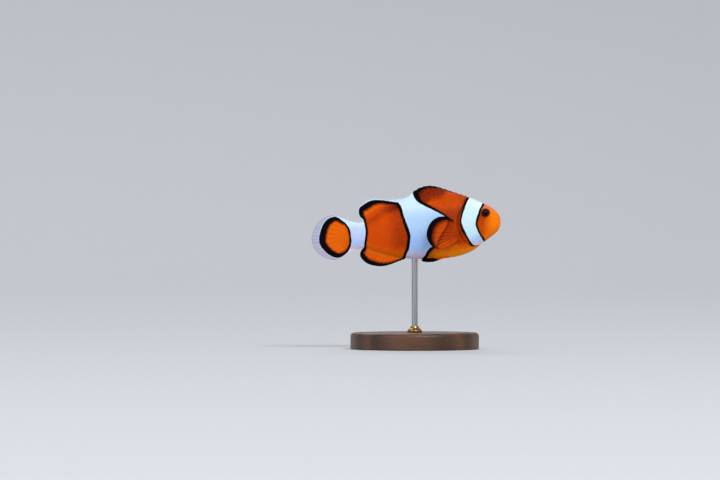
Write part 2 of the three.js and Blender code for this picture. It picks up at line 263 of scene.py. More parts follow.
rod_low, rod_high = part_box("stand_rod")
ROD_RADIUS, ROD_FOOT, ROD_TOP = rod_high.x / MM, rod_low.z / MM, rod_high.z / MM
TIP = 0.4  # the width of the bevel round the rod's top

rod = turned(
    "steel_rod",
    (0, ROD_FOOT),
    (ROD_RADIUS, ROD_FOOT),
    (ROD_RADIUS, ROD_TOP - TIP),
    (ROD_RADIUS - TIP, ROD_TOP),
    (0, ROD_TOP),
    segments=64,
)
new_finish("drawn_steel", rod)
drawn = own_place()
rubbed = noise(drawn, 2600, 2, (1, 1, 0.02))
smudge = noise(drawn, 220, 2)
steel_colour = blend(colour(190, 191, 192), colour(150, 152, 155), rubbed + 0.5)
surface(steel_colour, 0.3 + rubbed * 0.16 + smudge * 0.12, rubbed, 0.006 * MM, Metallic=1.0)
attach(rod, "root")
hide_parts("stand_rod")

# ----------------------------------------------------------
# The body: a deep, flat-sided fish with a small upturned mouth, cast in one piece. It is laid out
# in the fish's own frame, in millimetres: s behind the snout, y to its left, z over its long axis.

NOSE_UP = math.radians(5.5)
TOTAL_LENGTH = 80.0
TAIL_SWAY, SWAY_START = 3.6, 24.0
MIDLINE_HEIGHT = 50.0
ROD_PLACE = 37.6
COAT = 0.09  # the depth that the scales take up over the skin

# At each distance behind the snout: the back's height, the belly's, and the half width.
STATIONS = np.array([
    (0, 0.4, 0.4, 0), (0.35, 2.55, -1.5, 1.5), (1.4, 4.4, -3.5, 2.55), (4.5, 7.15, -5.9, 3.9),
    (8, 9.1, -8.05, 4.85), (12.5, 11.45, -10.85, 5.75), (18, 12.95, -12.6, 6.3),
    (25, 12.8, -13.2, 6.3), (33, 12.25, -12.85, 5.75), (41.5, 11.6, -11.6, 4.7),
    (48, 10.1, -9.85, 3.65), (53.5, 7.6, -7.8, 2.75), (58.2, 5.45, -5.95, 2),
    (63.5, 5.6, -5.4, 1.3), (66.5, 4.8, -4.8, 0.62), (69.6, 2.9, -2.9, 0.1),
])
BODY_END = STATIONS[-1, 0]
BACK, BELLY, WIDTH = 1, 2, 3


def along_body(column, s):
    """One column of the stations at s, smoothed over the root of the distance."""
    knots, values = np.sqrt(STATIONS[:, 0]), STATIONS[:, column]
    rise = np.diff(values) / np.diff(knots)
    slope = (np.append(rise[0], rise) + np.append(rise, rise[-1])) / 2
    at = np.sqrt(np.clip(s, 0, BODY_END))
    i = np.clip(np.searchsorted(knots, at) - 1, 0, len(knots) - 2)
    width = knots[i + 1] - knots[i]
    t = (at - knots[i]) / width
    return (
        values[i] * (1 + 2 * t) * (1 - t) ** 2
        + values[i + 1] * (3 - 2 * t) * t**2
        + width * (slope[i] * t * (1 - t) ** 2 - slope[i + 1] * t**2 * (1 - t))
    )


def soft(value, low, high):
    """A soft step of an array: 0 at low, 1 at high."""
    t = np.clip((np.asarray(value, float) - low) / (high - low), 0, 1)
    return t * t * (3 - 2 * t)


def bell(value, centre, spread):
    """A soft bump of height 1 round a centre."""
    return np.exp(-(((np.asarray(value, float) - centre) / spread) ** 2))


def spot(s, z, middle, long, tall):
    """A soft oval bump of height 1 round a middle (s, z)."""
    return bell(np.hypot((s - middle[0]) / long, (z - middle[1]) / tall), 0, 1)


def sway(s):
    """How far the swimming sweep moves the body sideways at s."""
    return TAIL_SWAY * (np.maximum(0, s - SWAY_START) / (TOTAL_LENGTH - SWAY_START)) ** 2


ROUND_BROW, SHARP_BACK = 0.86, 1.25  # how pinched the section is over the face and behind it


def form(s, turn):
    """The plain body at s and at a turn round its section: 0 is the left flank, a quarter the back."""
    back, belly = along_body(BACK, s), along_body(BELLY, s)
    pinched = ROUND_BROW + (SHARP_BACK - ROUND_BROW) * soft(s, 6, 20)
    ridge = np.where(np.sin(turn) > 0, pinched, 1.0)
    y = along_body(WIDTH, s) * np.sign(np.cos(turn)) * np.abs(np.cos(turn)) ** ridge
    return np.stack([s + 0 * turn, y, (back + belly) / 2 + (back - belly) / 2 * np.sin(turn)], -1)


def outward(s, turn, step=0.02):
    """The plain body's outward direction."""
    root = np.sqrt(s)
    ahead, behind = np.maximum(root - step, 0) ** 2, np.minimum((root + step) ** 2, BODY_END)
    along = form(behind, turn) - form(ahead, turn)
    normal = np.cross(form(s, turn + step) - form(s, turn - step), along)
    return normal / np.maximum(np.linalg.norm(normal, axis=-1, keepdims=True), 1e-9)


NOSE_COS, NOSE_SIN = math.cos(NOSE_UP), math.sin(NOSE_UP)
# The snout's place on the stand, from where the rod enters the belly.
SNOUT_X = ROD_PLACE * NOSE_COS + along_body(BELLY, ROD_PLACE) * NOSE_SIN
SNOUT_Z = MIDLINE_HEIGHT + ROD_PLACE * NOSE_SIN
ROD_SWAY = sway(ROD_PLACE)


def to_world(lay):
    """Places in the fish's frame as places in the stand's frame, in metres."""
    s, y, z = np.moveaxis(np.asarray(lay, float), -1, 0)
    x, height = SNOUT_X - s * NOSE_COS - z * NOSE_SIN, SNOUT_Z - s * NOSE_SIN + z * NOSE_COS
    return np.stack([x, y + sway(s) - ROD_SWAY, height], -1) * MM


def to_lay(world):
    """Places in the stand's frame back in the fish's frame."""
    x, y, z = np.moveaxis(np.asarray(world, float) / MM, -1, 0)
    x, z = x - SNOUT_X, z - SNOUT_Z
    s = -(x * NOSE_COS + z * NOSE_SIN)
    return np.stack([s, y - sway(s) + ROD_SWAY, z * NOSE_COS - x * NOSE_SIN], -1)


def smooth_line(corners, closed=False, parts=8):
    """Points on a smooth curve through corners of any number of columns."""
    corners = np.array(corners, float)
    ends = [corners[-1:], corners[:2]] if closed else [corners[:1], corners[-1:]]
    padded = np.concatenate([ends[0], corners, ends[1]])
    t = np.linspace(0, 1, parts, endpoint=False)[:, None]
    points = []
    for before, start, end, after in zip(padded, padded[1:], padded[2:], padded[3:]):
        bend = 2 * before - 5 * start + 4 * end - after + t * (3 * (start - end) + after - before)
        points.append(start + 0.5 * t * (end - before + t * bend))
    return np.concatenate(points if closed else [*points, corners[-1:]])


def nearest_on(line, s, z, closed=False):
    """For each place (s, z): its distance to a line, the share along it, and the side it is on."""
    start = line if closed else line[:-1]
    end = np.roll(line, -1, 0) if closed else line[1:]
    place = np.stack([np.ravel(s), np.ravel(z)], -1)
    best = np.full(len(place), np.inf)
    share, side = np.zeros(len(place)), np.ones(len(place))
    for k, (a, b) in enumerate(zip(start[:, :2], end[:, :2])):
        run = b - a
        t = np.clip((place - a) @ run / max(run @ run, 1e-12), 0, 1)
        off = place - a - t[:, None] * run
        distance = np.hypot(off[:, 0], off[:, 1])
        closer = distance < best
        best[closer] = distance[closer]
        share[closer] = k + t[closer]
        side[closer] = np.where(run[0] * off[closer, 1] - run[1] * off[closer, 0] > 0, 1, -1)
    shape = np.shape(s)
    return best.reshape(shape), share.reshape(shape) / len(start), side.reshape(shape)


EYE_S, EYE_Z = 6.4, 4.08
EYE_RADIUS, EYE_DEPTH = 2.15, 1.8  # an eyeball is a little flattened
EYE_OUT = 0.7  # how far it stands out of the head
MOUTH = smooth_line([(-0.8, 0.25), (0.4, -0.35), (1.3, -1), (2.1, -1.7), (2.7, -2.4)])
GILL_EDGE = smooth_line([
    (14.6, 8.4), (16.2, 6.9), (17.5, 4.6), (18.2, 1.6), (18.1, -1.8), (17.1, -5), (15, -7.8),
    (12.2, -9.3), (9, -8.2), (6.4, -6),
])
CHEEK_EDGE = smooth_line([(8.9, 3.4), (9.9, 1.2), (10.2, -1.6), (9.5, -4.2), (7.8, -5.9), (5.6, -5.6)])
NOSTRIL = (3, 3.75)
FIN_LOBE = (19.8, -2.9)  # the middle of the side fin's fleshy root
HEAD_END = 22.0


def relief(lay):
    """How far the finished skin stands out of the plain body, in millimetres."""
    s, _, z = np.moveaxis(lay, -1, 0)
    out = np.full(s.shape, -COAT)
    head = s < HEAD_END
    s, z = s[head], z[head]
    rise = np.zeros(s.shape)

    # The mouth is a slit between two fleshy lips, with a fold of skin behind each.
    away, share, side = nearest_on(MOUTH, s, z)
    signed = -away * side
    corner = 1 - soft(np.hypot(s - 2.7, z + 2.4), 1.1, 0.2) * 0.75
    lips = corner * (1 - soft(share, 0.985, 1) * soft(away, 0, 0.7))
    front = 0.16 * (1 - soft(s, 0.1, 1))
    rise += lips * (
        -0.5 * bell(signed, 0, 0.14)
        + (0.14 - front) * bell(signed, 0.5, 0.33)
        + (0.17 - front) * bell(signed, -0.52, 0.36)
        - 0.09 * bell(signed, 1.15, 0.28)
        - 0.1 * bell(signed, -1.25, 0.3)
    )

    # The eye's socket, with a raised rim, and the one nostril ahead of it.
    from_eye = np.hypot(s - EYE_S, z - EYE_Z)
    rise += -1.2 * (1 - soft(from_eye, 1.3, 1.68)) + 0.22 * bell(from_eye, 1.9, 0.26)
    rise += -0.07 * bell(from_eye, 2.55, 0.3)
    from_nostril = np.hypot(s - NOSTRIL[0], z - NOSTRIL[1])
    rise += -0.38 * bell(from_nostril, 0, 0.17) + 0.12 * bell(from_nostril, 0.38, 0.13)

    # The cheek plate, the gill cover with its free edge, and the fleshy root of the side fin.
    away, share, side = nearest_on(CHEEK_EDGE, s, z)
    inside = -away * side
    faded = soft(share, 0, 0.15) * (1 - soft(share, 0.8, 1))
    rise += faded * (0.1 * bell(inside, 0.25, 0.35) - 0.1 * bell(inside, -0.18, 0.16))
    away, share, side = nearest_on(GILL_EDGE, s, z)
    inside = -away * side
    lifted = soft(share, 0, 0.12) * (1 - soft(share, 0.85, 1))
    step = soft(inside, -0.15, 0.15)
    rise += lifted * (0.2 * bell(inside, 0, 1.6) * step - 0.26 * bell(inside, -0.2, 0.45) * (1 - step))
    rise += 0.4 * spot(s, z, FIN_LOBE, 1.0125, 2.55)

    out[head] += rise
    return out


def skin_at(s, turn, rise=0):
    """Places of the finished skin, or of something that stands over it."""
    plain = form(s, turn)
    return plain + outward(s, turn) * (relief(plain) + rise)[..., None]


def shell(rings, capped=False):
    """Faces of a closed tube through rings of equal count, its ends pinched flat or capped."""
    count, last = rings.shape[1], len(rings) - 1
    faces = walls(len(rings), count)
    if capped:
        faces += [list(range(count))[::-1], [last * count + n for n in range(count)]]
        return faces
    for n in range(count // 2 - 1):
        ends = [n, n + 1, count - 2 - n, count - 1 - n]
        faces += [ends[::-1], [last * count + e for e in ends]]
    return faces


# The rings lie closest on the face, where they follow the root of the distance.
FACE_END, GILL_END = 8.0, 20.0
body_s = np.concatenate([
    np.arange(0.03, math.sqrt(FACE_END), 0.018) ** 2, np.arange(FACE_END, GILL_END, 0.2),
    np.arange(GILL_END, BODY_END, 0.55), [BODY_END],
])
ROUND = 184
body_turn = 2 * math.pi * (np.arange(ROUND) + 0.5) / ROUND
body_lay = skin_at(body_s[:, None] + 0 * body_turn, body_turn + 0 * body_s[:, None])
body_faces = shell(body_lay, capped=True)

# ----------------------------------------------------------
# The fins: thin membrane stretched over bony rays. Each ray is one rib at its root, and a soft ray
# forks twice before the margin, whose edge dips between the forks.

FIN_ROOT = 1.3  # how deep a fin's root lies in the body
MEMBRANE, RAY = 0.07, 0.16  # half the membrane's thickness, and how far a ray stands out of it
UNFORKED = 2.0


def ribs(phase, v, fork):
    """How strongly a ray shows at a place between rays: 1 on a ray's line, 0 on the membrane."""
    near = np.abs(phase - np.round(phase))
    first = 0.25 * soft(v, fork, np.maximum(fork + 0.5, 1))
    second = 0.115 * soft(v, fork + 0.35, np.maximum(fork + 0.7, 1.1))
    return bell(np.abs(np.abs(near - first) - second), 0, 0.085)


def blade(
    rays, root, rim, forks, spiny=0, across=(0, 1, 0), columns=10, rows=30,
    bow=lambda u, v: 0 * v, dip=0.18, sheath=(0.5, 0.55),
):
    """A fin's closed shell, with what each of its points needs to be painted.

    Its first rays, up to the share spiny, stay whole; the others fork at the share forks of their
    length. Each point is bowed across the blade. The sheath is the root's fleshy depth and fade.
    """
    u = np.linspace(0, 1, (rays - 1) * columns + 1)[:, None]
    v = np.linspace(0, 1, rows + 1)[None, :] ** 0.9
    start, end = root(u), rim(u)
    reach = np.linalg.norm(end - start, axis=-1)
    phase, fork = u * (rays - 1), np.where(u < spiny, UNFORKED, forks)
    between_tips = 1 - ribs(phase, np.ones_like(u), fork)
    between_tips = np.where(u < spiny, np.abs(np.sin(math.pi * phase)), between_tips)
    at = v * (1 - dip * between_tips / np.maximum(reach, 1))
    side = np.array(across)
    middle = start + (end - start) * at[..., None] + side * bow(u, at)[..., None]
    rib, run = ribs(phase, at, fork), at * reach
    fleshy = sheath[0] * np.exp(-np.maximum(run - FIN_ROOT * 0.9, 0) / sheath[1]) * soft(reach, 1.3, 3.2)
    rim_taper = 1 - 0.55 * soft(at, 0.8, 1)
    rounded_rib = RAY * (1 - 0.65 * at) * rib * soft(run, FIN_ROOT - 0.2, FIN_ROOT + 1.4)
    half = ((MEMBRANE + rounded_rib) * rim_taper + fleshy)[..., None]
    rings = np.concatenate([middle - side * half, (middle + side * half)[:, ::-1]], 1)
    marks = {"rib": rib, "run": run, "edge": (1 - at) * reach, "share": u + 0 * at}
    return rings, {name: np.concatenate([mark, mark[:, ::-1]], 1) for name, mark in marks.items()}


def drawn_line(corners):
    """A smooth outline of (s, z) corners as a function of the share of its length."""
    line = smooth_line(corners, parts=24)
    length = np.append(0, np.cumsum(np.hypot(*np.diff(line, axis=0).T)))
    return lambda u: [np.interp(u * length[-1], length, line[:, k]) for k in (0, 1)]


def on_middle(corners):
    """An outline on the fish's middle plane."""
    outline = drawn_line(corners)
    return lambda u: np.stack([outline(u)[0], 0 * u, outline(u)[1]], -1)


def in_body(first, last, column):
    """A fin's root line, laid under the skin along the back or the belly."""

    def places(u):
        s = first + (last - first) * u
        edge = along_body(column, s)
        return np.stack([s, 0 * s, edge - np.sign(edge) * FIN_ROOT], -1)

    return places


DORSAL_RIM = [
    (13.4, 12.1), (18.1, 14.1), (22.1, 15.9), (26.2, 17.5), (29.4, 18), (32.5, 17.5), (34.8, 16.5),
    (36.3, 15.5), (38, 14.1), (41.3, 13.4), (45.5, 13.5), (49.7, 14.3), (53.5, 14.8), (56.6, 14),
    (58.8, 12.3), (59.5, 10.4), (59, 8), (57.6, 5.9),
]
ANAL_RIM = [
    (41.8, -12), (44.5, -12.6), (48.1, -13.6), (51.5, -14), (55, -13.4), (58, -12), (59.9, -9.8),
    (60.3, -7.9), (59.4, -6.2),
]
TAIL_RIM = [
    (60.6, 5.5), (63, 6.2), (65.1, 7.2), (68.4, 9), (71.4, 9.5), (74.5, 8.5), (77.6, 5.9), (79.6, 2.1),
    (80, -1), (79.2, -4.1), (77, -6.8), (74, -8.7), (70.8, -9.4), (67.8, -8.7), (65, -7.1), (63, -6.1),
    (60.6, -5.6),
]


def tail_root(u):
    """The tail fin's root, which is rounded into the tail stalk's end."""
    return np.stack([62.4 - 2.6 * np.abs(1 - 2 * u) ** 4, 0 * u, 4.9 * (1 - 2 * u)], -1)


fins = {}
fins["dorsal"] = blade(
    25, in_body(13.4, 56.6, BACK), on_middle(DORSAL_RIM), forks=0.4, spiny=0.48, rows=24, dip=0.2,
    sheath=(0.5, 1.1), bow=lambda u, v: 0.25 * np.sin(9 * u) * v**2,
)
fins["anal"] = blade(
    14, in_body(41.6, 58.2, BELLY), on_middle(ANAL_RIM), forks=0.4, spiny=0.1, columns=11, rows=20,
    sheath=(0.5, 1.1), bow=lambda u, v: -0.3 * np.sin(5 * u) * v**2,
)
fins["tail"] = blade(
    17, tail_root, on_middle(TAIL_RIM), forks=0.3, columns=12, rows=38, dip=0.14,
    bow=lambda u, v: 0.35 * np.sin(6 * u) * v**2,
)

pectoral_rim = drawn_line([
    (19.8, 0.6), (21.2, 3.3), (23.6, 4.4), (26.6, 4.3), (29.4, 2.7), (31.3, -0.1), (31.9, -3.2),
    (31.1, -6.1), (29.2, -8.2), (26.2, -9.1), (22.4, -8.2), (20, -6.4),
])
FIN_FOLD = smooth_line([
    (21.4, 4.6), (22.3, 2.4), (23.05, 0.6), (24.5, -1.4), (26.35, -3.7), (27.8, -6.2), (28.6, -9),
])
HINGE_S, HINGE_Z, HINGE_HALF = 19.4, -2.9, 2.7
FLARE = math.radians(36)  # how far the side fins are held out from the flank
BELLY_HINGE, BELLY_FIN_LONG = 21.6, 13.2
BELLY_TILT, BELLY_ARC = math.radians(30), math.radians(80)
SIDES = (("right", -1), ("left", 1))


def flank_at(s, z):
    """The plain body's half width at a height on it."""
    back, belly = along_body(BACK, s), along_body(BELLY, s)
    return form(s, math.asin((2 * z - back - belly) / (back - belly)))[1]


def side_fin(hand):
    """A round fan hinged on a short upright root."""
    hinge_y = flank_at(HINGE_S, HINGE_Z) - FIN_ROOT

    def flared(s, z):
        return np.stack([s, hand * (hinge_y + (s - HINGE_S) * math.tan(FLARE)), z], -1)

    return blade(
        17, lambda u: flared(HINGE_S - 0.4 + 0 * u, HINGE_Z + HINGE_HALF * (1 - 2 * u)),
        lambda u: flared(*pectoral_rim(u)), forks=0.35, rows=26, sheath=(0.75, 1.3),
        across=(-math.sin(FLARE), hand * math.cos(FLARE), 0),
        bow=lambda u, v: (0.5 + 0.1 * np.sin(70 * u)) * np.sin(math.pi * v),
    )


def belly_fin(hand):
    """A narrow fan laid back along the belly, its outer edge a little lower."""
    top = along_body(BELLY, BELLY_HINGE) + 0.9

    def laid(back, across):
        y = hand * (1.3 + across * math.cos(BELLY_TILT))
        return np.stack([BELLY_HINGE + back, y, top - 0.04 * back - across * math.sin(BELLY_TILT)], -1)

    def rim(u):
        angle = BELLY_ARC * (2 * u - 1)
        return laid(BELLY_FIN_LONG * (0.55 + 0.45 * np.cos(angle)), 0.8 + 2.5 * np.sin(angle))

    return blade(
        6, lambda u: laid(-0.8 + 0 * u, 0.8 * (2 * u - 1)) + np.array([0, 0, 0.7]), rim, forks=0.3,
        columns=12, across=(0, hand * math.sin(BELLY_TILT), math.cos(BELLY_TILT)),
    )


for name, hand in SIDES:
    fins[f"side_{name}"] = side_fin(hand)
    fins[f"belly_{name}"] = belly_fin(hand)

# ----------------------------------------------------------
# The skin: body and fins fused into one surface, painted with four orange fields on pearl white.
# Each field is bordered with black, which is thin on the body and broad on the fins.

# A field's outline, as (s, z, width of its black border).
FACE = [
    (6.5, 12.5, 0.8), (6.95, 8.7, 0.9), (8.6, 6.1, 0.9), (9.65, 3.8, 1), (10.6, 1.6, 0.95),
    (10.95, -0.2, 0.85), (10.4, -2.6, 0.75), (9.5, -4.9, 0.65), (8.4, -7.1, 0.9), (7.6, -9, 0.7),
    (7, -11, 0.4), (-6, -16, 0), (-12, 0, 0), (-6, 18, 0),
]
FRONT = [
    (12, 12.9, 0.9), (12.15, 11.5, 1.05), (13.7, 9.05, 1.1), (15, 6.3, 1.05), (16.2, 3.5, 0.65),
    (16.7, 1, 0.75), (15.95, -1.65, 1.1), (15.15, -3.8, 0.9), (14.2, -6.05, 0.65), (13.1, -7.9, 1),
    (12.4, -8.75, 0.5), (10.9, -9.15, 0), (9.3, -10, 0), (8, -22, 0), (36.5, -22, 0.6),
    (35.2, -13.4, 0.9), (34.4, -12.2, 1), (33.3, -11.3, 1.2), (32.3, -9.7, 1.25), (30.9, -8.3, 1.25),
    (29, -7.2, 0.9), (26.4, -5.4, 0.7), (23.6, -3.2, 0.7), (21.8, -0.8, 0.7), (21.1, 1.1, 0.75),
    (21.9, 2.9, 0.6), (23.5, 4.45, 0.7), (26.2, 6.3, 0.95), (29.35, 8.32, 1.15), (32.5, 10.3, 1.2),
    (34.4, 11.9, 1.85), (35.4, 13.8, 2.2), (35.7, 15.6, 2.5), (34.9, 16.75, 2.3), (32.8, 17.9, 1.85),
    (29.4, 18.5, 1.4), (26.2, 18, 1.2), (22.1, 16.5, 0.85), (18.1, 14.8, 0.75), (13.6, 13.5, 0.8),
]
REAR = [
    (41.8, -12.15, 1.3), (40.95, -10, 0.95), (39.6, -7.75, 1.25), (38.85, -4.9, 1.25), (38.45, -2, 1.3),
    (38.85, 0.5, 1.35), (39.75, 3.55, 1.15), (40.45, 6.6, 1.15), (40.9, 9.2, 1.25), (41.45, 10.9, 1.5),
    (42.5, 12.15, 1.3), (44.7, 12.7, 1.15), (49, 13.75, 1.3), (51.8, 14.1, 1.7), (54.25, 13.8, 2.2),
    (56.4, 12.8, 2.3), (58.55, 11.5, 2.25), (59.1, 9.8, 2), (58.8, 7.85, 1.7), (57.6, 6.3, 1.1),
    (57.2, 4.5, 0.9), (57, 1.5, 0.95), (57.55, -1.4, 0.95), (58.05, -3.85, 0.85), (58.6, -5.6, 1.3),
    (59.9, -6.2, 1.8), (60.5, -8, 2.1), (60.05, -9.9, 2.2), (58.2, -12.2, 2.2), (55, -13.7, 2),
    (51.5, -14.35, 1.6), (48.1, -13.9, 1.2), (44.5, -12.95, 1),
]
TAIL = [
    (69.8, 8.75, 1.9), (72.8, 7.75, 2.3), (75.15, 4.95, 2.5), (76.5, 1.2, 2.6), (76.9, -1.3, 2.7),
    (76.1, -3.65, 2.5), (73.85, -6.45, 2.3), (71.4, -8.2, 2.1), (69.3, -8.7, 1.8), (67.3, -8, 1.35),
    (65.2, -6.5, 1), (63.7, -3.8, 0.85), (63.25, -0.9, 0.8), (63.5, 2.5, 0.8), (64.6, 5.1, 0.85),
    (66.5, 6.85, 1), (68, 8.2, 1.4),
]


def inside_of(line, s, z):
    """Whether places lie inside a closed line, by the crossings to one side."""
    crossings = np.zeros(s.shape, bool)
    for (s0, z0), (s1, z1) in zip(line[:, :2], np.roll(line, -1, 0)[:, :2]):
        spans = (z0 > z) != (z1 > z)
        crossings ^= spans & (s < s0 + (s1 - s0) * (z - z0) / (z1 - z0 if z1 != z0 else 1.0))
    return crossings


def markings(lay):
    """For each place: how deep it lies in an orange field, and that field's border there."""
    s, z = lay[..., 0].ravel(), lay[..., 2].ravel()
    depth, border = np.full(s.shape, -9.0), np.zeros(s.shape)
    for corners in (FACE, FRONT, REAR, TAIL):
        line = smooth_line(corners, closed=True, parts=6)
        near = np.flatnonzero((s > line[:, 0].min() - 4) & (s < line[:, 0].max() + 4))
        distance, share, _ = nearest_on(line, s[near], z[near], closed=True)
        signed = np.where(inside_of(line, s[near], z[near]), distance, -distance)
        around = np.append(line[:, 2], line[0, 2])
        width = np.interp(share * len(line), np.arange(len(around)), around)
        ahead = signed > depth[near]
        depth[near[ahead]], border[near[ahead]] = signed[ahead], width[ahead]
    return depth.reshape(lay.shape[:-1]), border.reshape(lay.shape[:-1])


no_marks = {name: 0 * body_lay[..., 0] for name in ("rib", "run", "edge", "share")}
shells = [("body", body_lay, no_marks, body_faces)]
shells += [(name, rings, marks, shell(rings)) for name, (rings, marks) in fins.items()]


def facing_out(points, faces):
    """Faces turned so that the closed shell they make faces out."""
    volume = np.linalg.det(points[np.array([face[:3] for face in faces])]).sum()
    return faces if volume > 0 else [face[::-1] for face in faces]


loose = []
for name, lay, marks, faces in shells:
    points = to_world(lay.reshape(-1, 3))
    loose.append(piece(f"loose_{name}", points, facing_out(points, faces)))
for fin in loose[1:]:
    join = loose[0].modifiers.new(fin.name, "BOOLEAN")
    join.operation, join.solver, join.object = "UNION", "MANIFOLD", fin
bpy.context.view_layer.update()
fused = bpy.data.meshes.new_from_object(loose[0].evaluated_get(bpy.context.evaluated_depsgraph_get()))

# Each point of the fused mesh takes its rays from the nearest point of the shell it came from.
all_points = np.concatenate([to_world(lay.reshape(-1, 3)) for _, lay, _, _ in shells])
kinds = np.concatenate([np.full(lay[..., 0].size, name) for name, lay, _, _ in shells])
tree = KDTree(len(all_points))
for index, point in enumerate(all_points):
    tree.insert(point, index)
tree.balance()


def numbers(items, name, width, kind=float):
    """One value, of some numbers, of each of a mesh's points, edges or corners."""
    values = np.empty(len(items) * width, kind)
    items.foreach_get(name, values)
    return values.reshape(-1, width)


places = numbers(fused.vertices, "co", 3)
found = [tree.find(Vector(place)) for place in places]
source = np.array([index for _, index, _ in found])

# The creases where the fins leave the body are eased by a few rounds of averaging. Their points
# are the ones that none of the shells had.
edges = numbers(fused.edges, "vertices", 2, int)
crease = np.array([distance for *_, distance in found]) > 1e-6
for _ in range(2):
    touched = crease.copy()
    np.logical_or.at(touched, edges[:, 0], crease[edges[:, 1]])
    np.logical_or.at(touched, edges[:, 1], crease[edges[:, 0]])
    crease = touched
for _ in range(8):
    total, weight = np.zeros_like(places), np.zeros(len(places))
    np.add.at(total, edges[:, 0], places[edges[:, 1]])
    np.add.at(total, edges[:, 1], places[edges[:, 0]])
    np.add.at(weight, edges.ravel(), 1)
    places[crease] += 0.5 * (total / weight[:, None] - places)[crease]
fused.vertices.foreach_set("co", places.ravel())
fused.polygons.foreach_set("use_smooth", [True] * len(fused.polygons))
fused.update()

lay, kinds = to_lay(places), kinds[source]
field = {
    name: np.concatenate([marks[name].ravel() for _, _, marks, _ in shells])[source] for name in no_marks
}
on_fin = np.where(kinds == "body", 0, soft(field["run"], FIN_ROOT, FIN_ROOT + 1.4))
inlay, border = markings(lay)
is_side, is_belly = np.char.startswith(kinds, "side"), np.char.startswith(kinds, "belly")
side_border = soft(field["run"] + field["edge"], 1.5, 5) * np.interp(
    field["share"], [0, 0.12, 0.3, 0.5, 0.6, 0.68, 0.74, 0.8], [1.3, 2.2, 2.8, 2.6, 1.7, 1, 0.5, 0.1]
)
belly_border = (
    0.25 + 3.2 * soft(lay[:, 0], 26.5, 28.5) * soft(field["share"], 0.45, 0.8)
    + 5.0 * soft(lay[:, 0], 28, 31) * soft(field["share"], 0, 0.4)
)
fold_distance, _, fold_side = nearest_on(FIN_FOLD, lay[:, 0], lay[:, 2])
behind_fold = fold_distance * fold_side
plain_rim = 0.4 * is_side * soft(field["share"], 0.62, 0.76)
inlay = np.where(is_side | is_belly, field["edge"] + 0.02 + plain_rim, inlay)
border = np.where(is_side, side_border, np.where(is_belly, belly_border, border))
outside = soft(-inlay, 0, 0.5)
glassy = np.where(lay[:, 0] < 61, 0.45 * soft(lay[:, 0], 43, 49), soft(lay[:, 0], 65.5, 70))
clear = np.where(is_side | is_belly, 0.0, on_fin * outside * glassy)


# Where the three white bands part the face, the front, the rear and the tail.
BANDS = (10.8, 11.6), (36.5, 38), (60.5, 61.5)


